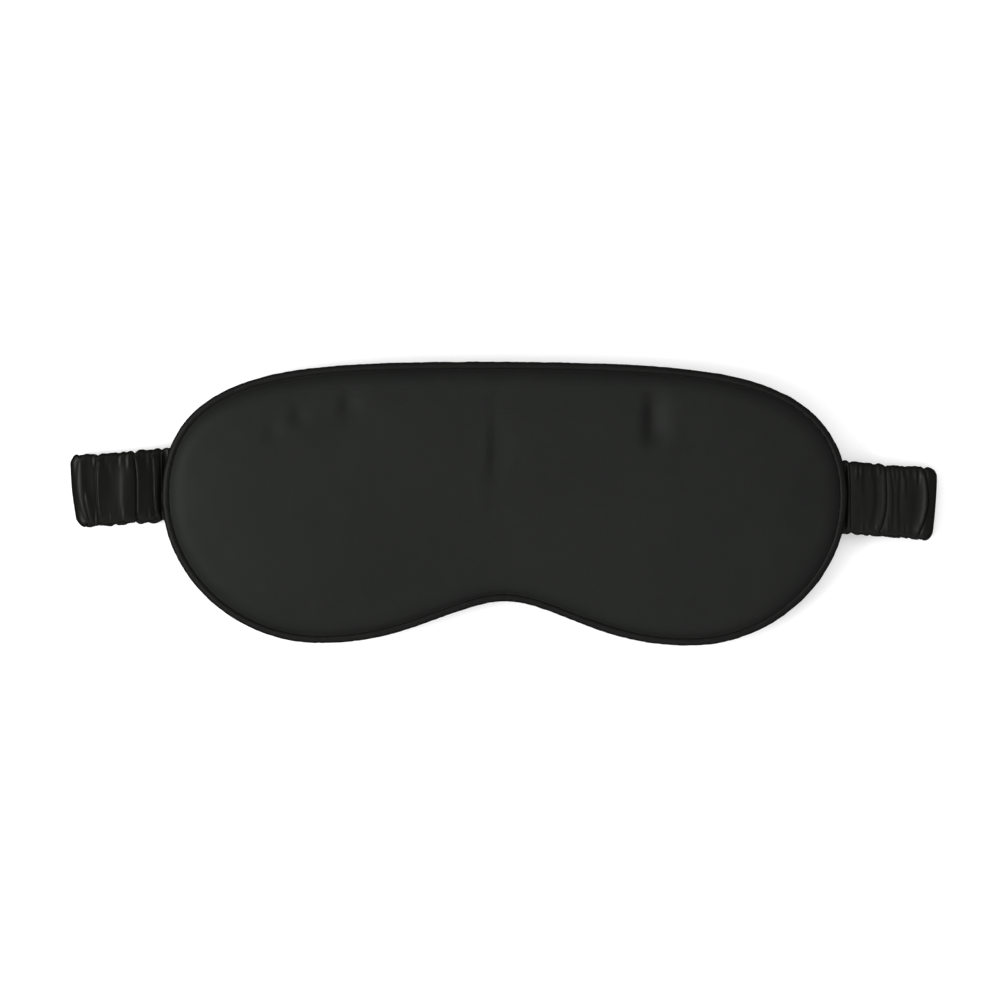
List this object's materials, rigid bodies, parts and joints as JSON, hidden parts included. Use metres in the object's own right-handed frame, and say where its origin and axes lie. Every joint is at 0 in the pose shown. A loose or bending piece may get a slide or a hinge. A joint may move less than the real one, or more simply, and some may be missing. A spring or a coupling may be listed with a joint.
{
  "type": "sleep eye mask",
  "caption": "Contoured padded satin sleep mask with a corded edge and one ruched satin-covered elastic strap that folds behind it.",
  "frame": {"origin": "centre of the bounding box's underside: under the nose bridge, on the table the folded strap lies on", "axes": "+X across the face, +Y towards the forehead edge, +Z out of the front cover"},
  "size_m": [0.271, 0.0886, 0.0148],
  "materials": {
    "satin_face": "charcoal satin (silk charmeuse), smooth, soft broad sheen",
    "satin_strap": "the same satin, ruched over the elastic",
    "satin_piping": "the same satin, cut on the bias and rolled round a cord",
    "blackout_liner": "thin matte black lining cloth",
    "wadding": "white polyester wadding",
    "elastic": "flat black woven elastic",
    "cord": "undyed twisted cotton cord",
    "thread": "black polyester sewing thread"
  },
  "bodies": {
    "strap_centre": {"sleeve_centre": "satin_strap", "elastic_centre": "elastic"},
    "strap_rear_left": {"sleeve_rear_left": "satin_strap", "elastic_rear_left": "elastic"},
    "strap_side_left": {"sleeve_side_left": "satin_strap", "elastic_side_left": "elastic"},
    "strap_stretch_left": {"sleeve_stretch_left": "satin_strap", "elastic_stretch_left": "elastic"},
    "tab_outer_left": {"sleeve_tab_outer_left": "satin_strap", "elastic_tab_outer_left": "elastic"},
    "tab_inner_left": {"sleeve_tab_inner_left": "satin_strap", "elastic_tab_inner_left": "elastic"},
    "mask_left": {"front_cover_left": "satin_face", "back_cover_left": "satin_face", "blackout_liner_left": "blackout_liner", "padding_left": "wadding", "piping_cover_left": "satin_piping", "piping_cord_left": "cord", "seam_thread_left": "thread", "elastic_end_left": "elastic"},
    "strap_rear_right": {"sleeve_rear_right": "satin_strap", "elastic_rear_right": "elastic"},
    "strap_side_right": {"sleeve_side_right": "satin_strap", "elastic_side_right": "elastic"},
    "strap_stretch_right": {"sleeve_stretch_right": "satin_strap", "elastic_stretch_right": "elastic"},
    "tab_outer_right": {"sleeve_tab_outer_right": "satin_strap", "elastic_tab_outer_right": "elastic"},
    "tab_inner_right": {"sleeve_tab_inner_right": "satin_strap", "elastic_tab_inner_right": "elastic"},
    "mask_right": {"front_cover_right": "satin_face", "back_cover_right": "satin_face", "blackout_liner_right": "blackout_liner", "padding_right": "wadding", "piping_cover_right": "satin_piping", "piping_cord_right": "cord", "seam_thread_right": "thread", "elastic_end_right": "elastic"}
  },
  "joints": [
    {"name": "strap_open", "type": "hinge", "parent": "strap_stretch_left", "child": "tab_outer_left", "pos_m": [-0.1355, 0.003, 0.00367], "axis": [0, -1, 0], "range_deg": [0, 120]},
    {"name": "strap_stretch", "type": "slide", "parent": "strap_side_left", "child": "strap_stretch_left", "axis": [-1, 0, 0], "range_m": [0, 0.02]},
    {"name": "rear_left_bend", "type": "hinge", "parent": "strap_centre", "child": "strap_rear_left", "pos_m": [-0.025, 0.003, 0.0032], "axis": [0, 1, 0], "range_deg": [0, 42.5]},
    {"name": "side_left_bend", "type": "hinge", "parent": "strap_rear_left", "child": "strap_side_left", "pos_m": [-0.075, 0.003, 0.0032], "axis": [0, 1, 0], "range_deg": [0, 17.8]},
    {"name": "tab_left_stretch", "type": "slide", "parent": "tab_outer_left", "child": "tab_inner_left", "axis": [1, 0, 0], "range_m": [0, 0.0202]},
    {"name": "seam_left_bend", "type": "hinge", "parent": "tab_inner_left", "child": "mask_left", "pos_m": [-0.105, 0.003, 0.007], "axis": [0, 1, 0], "range_deg": [0, 17.3]},
    {"name": "nose_bend", "type": "hinge", "parent": "mask_left", "child": "mask_right", "pos_m": [0, 0.003, 0.0034], "axis": [0, 1, 0], "range_deg": [0, 86]},
    {"name": "rear_right_bend", "type": "hinge", "parent": "strap_centre", "child": "strap_rear_right", "pos_m": [0.025, 0.003, 0.0032], "axis": [0, -1, 0], "range_deg": [0, 42.5]},
    {"name": "side_right_bend", "type": "hinge", "parent": "strap_rear_right", "child": "strap_side_right", "pos_m": [0.075, 0.003, 0.0032], "axis": [0, -1, 0], "range_deg": [0, 17.8]},
    {"name": "side_right_stretch", "type": "slide", "parent": "strap_side_right", "child": "strap_stretch_right", "axis": [1, 0, 0], "range_m": [0, 0.0202]},
    {"name": "fold_right_open", "type": "hinge", "parent": "strap_stretch_right", "child": "tab_outer_right", "pos_m": [0.1355, 0.003, 0.00367], "axis": [0, 1, 0], "range_deg": [0, 120.2]},
    {"name": "tab_right_stretch", "type": "slide", "parent": "tab_outer_right", "child": "tab_inner_right", "axis": [-1, 0, 0], "range_m": [0, 0.0202]}
  ],
  "couplings": [
    {"joint": "rear_left_bend", "follows": "strap_open", "ratio": 0.3525},
    {"joint": "side_left_bend", "follows": "strap_open", "ratio": 0.1475},
    {"joint": "seam_left_bend", "follows": "strap_open", "ratio": 0.14267},
    {"joint": "nose_bend", "follows": "strap_open", "ratio": 0.71467},
    {"joint": "rear_right_bend", "follows": "strap_open", "ratio": 0.3525},
    {"joint": "side_right_bend", "follows": "strap_open", "ratio": 0.1475},
    {"joint": "fold_right_open", "follows": "strap_open", "ratio": 1},
    {"joint": "tab_left_stretch", "follows": "strap_stretch", "ratio": 1},
    {"joint": "side_right_stretch", "follows": "strap_stretch", "ratio": 1},
    {"joint": "tab_right_stretch", "follows": "strap_stretch", "ratio": 1}
  ]
}
